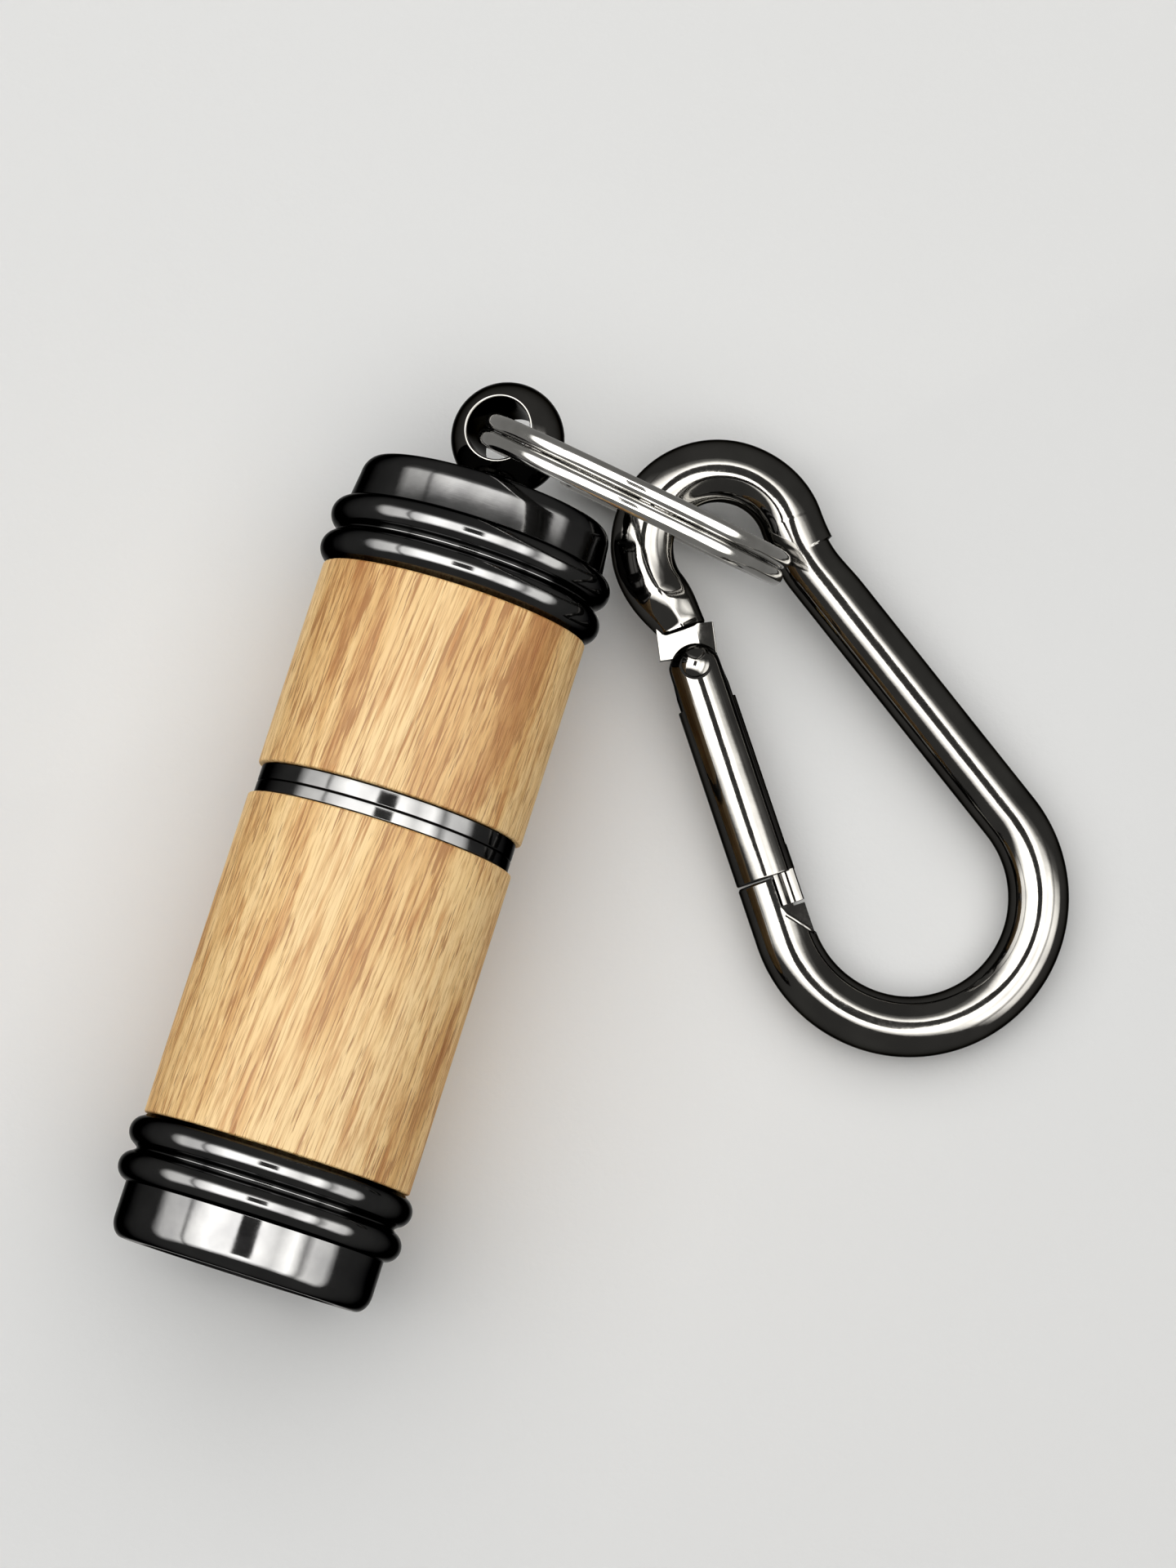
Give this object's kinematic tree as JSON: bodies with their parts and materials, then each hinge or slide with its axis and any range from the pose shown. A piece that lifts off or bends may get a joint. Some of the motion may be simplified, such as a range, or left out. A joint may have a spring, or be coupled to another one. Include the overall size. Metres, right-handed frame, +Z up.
{
  "type": "keychain flashlight",
  "caption": "Small wood-sleeved cylindrical flashlight with a ball swivel eye, a split ring and a spring-gate snap hook.",
  "frame": {"origin": "centre of the bounding box's base, on the surface that the flashlight lies on", "axes": "+Z up from the table, +Y along the flashlight from its lens end to its swivel end, +X towards the snap hook"},
  "size_m": [0.0618, 0.0714, 0.0251],
  "materials": {
    "dark_chrome": "polished black nickel plate",
    "bright_nickel": "bright nickel plate on spring steel",
    "wood": "satin lacquered light oak with a straight grain",
    "brass": "turned, bare",
    "spring_steel": "drawn wire",
    "cell_steel": "satin nickel plate",
    "rubber": "matte black",
    "clear_lens": "clear, polished",
    "mirror_coat": "vacuum metallised",
    "led_body": "clear domed epoxy",
    "resistor_body": "lacquer",
    "white_plastic": "moulded, fine texture",
    "board": "solder mask"
  },
  "bodies": {
    "tail_half": {"tail_cap": "dark_chrome", "tail_barrel": "wood", "tail_tube": "brass", "tail_coupler": "dark_chrome", "contact_plug": "brass", "contact_spring": "spring_steel"},
    "battery_stack": {"button_cell_1": "cell_steel", "button_cell_2": "cell_steel", "button_cell_3": "cell_steel"},
    "head_half": {"head_cap": "dark_chrome", "head_barrel": "wood", "head_tube": "brass", "head_coupler": "dark_chrome", "coupler_o_ring": "rubber", "lens": "clear_lens", "lens_gasket": "rubber", "reflector": "mirror_coat", "led": "led_body", "led_holder": "white_plastic", "circuit_board": "board", "board_contact": "brass", "resistor": "resistor_body", "battery_sleeve": "white_plastic"},
    "swivel": {"swivel_eye": "dark_chrome", "swivel_clip": "spring_steel"},
    "ring": {"split_ring": "bright_nickel"},
    "carabiner": {"carabiner_hook": "dark_chrome", "gate_rivet": "dark_chrome"},
    "gate_body": {"gate": "dark_chrome", "gate_spring": "spring_steel"},
    "plunger": {"gate_plunger": "brass"}
  },
  "joints": [
    {"name": "switch_travel", "type": "slide", "parent": "tail_half", "child": "battery_stack", "axis": [0, 1, 0], "range_m": [-0.0035, 0], "deforming": ["contact_spring"]},
    {"name": "head_twist", "type": "hinge", "parent": "battery_stack", "child": "head_half", "pos_m": [-0.02007, -0.00071, 0.01085], "axis": [0, 1, 0], "range_deg": [-1261, 0]},
    {"name": "eye_swivel", "type": "hinge", "parent": "tail_half", "child": "swivel", "pos_m": [-0.02007, 0.02479, 0.01085], "axis": [0, 1, 0], "continuous": true},
    {"name": "ring_swing", "type": "hinge", "parent": "swivel", "child": "ring", "pos_m": [-0.02007, 0.02954, 0.01085], "axis": [-0.2079, 0, 0.9781], "range_deg": [-10, 202]},
    {"name": "carabiner_swing", "type": "hinge", "parent": "ring", "child": "carabiner", "pos_m": [-0.00935, 0.02952, 0.00117], "axis": [-0.989, 0.1478, 0], "range_deg": [-5, 44]},
    {"name": "gate_open", "type": "hinge", "parent": "carabiner", "child": "gate_body", "pos_m": [-0.00184, 0.01836, 0.00438], "axis": [0.0445, -0.043, 0.9981], "range_deg": [0, 35.1]},
    {"name": "plunger_travel", "type": "slide", "parent": "gate_body", "child": "plunger", "axis": [0.5878, -0.8067, -0.061], "range_m": [0, 0.001], "stiffness_N_per_m": 3000, "springref_m": -0.0025, "deforming": ["gate_spring"]}
  ],
  "couplings": [
    {"joint": "head_twist", "follows": "switch_travel", "rad_per_m": 6283.2},
    {"joint": "gate_open", "follows": "plunger_travel", "rad_per_m": 610.8}
  ]
}
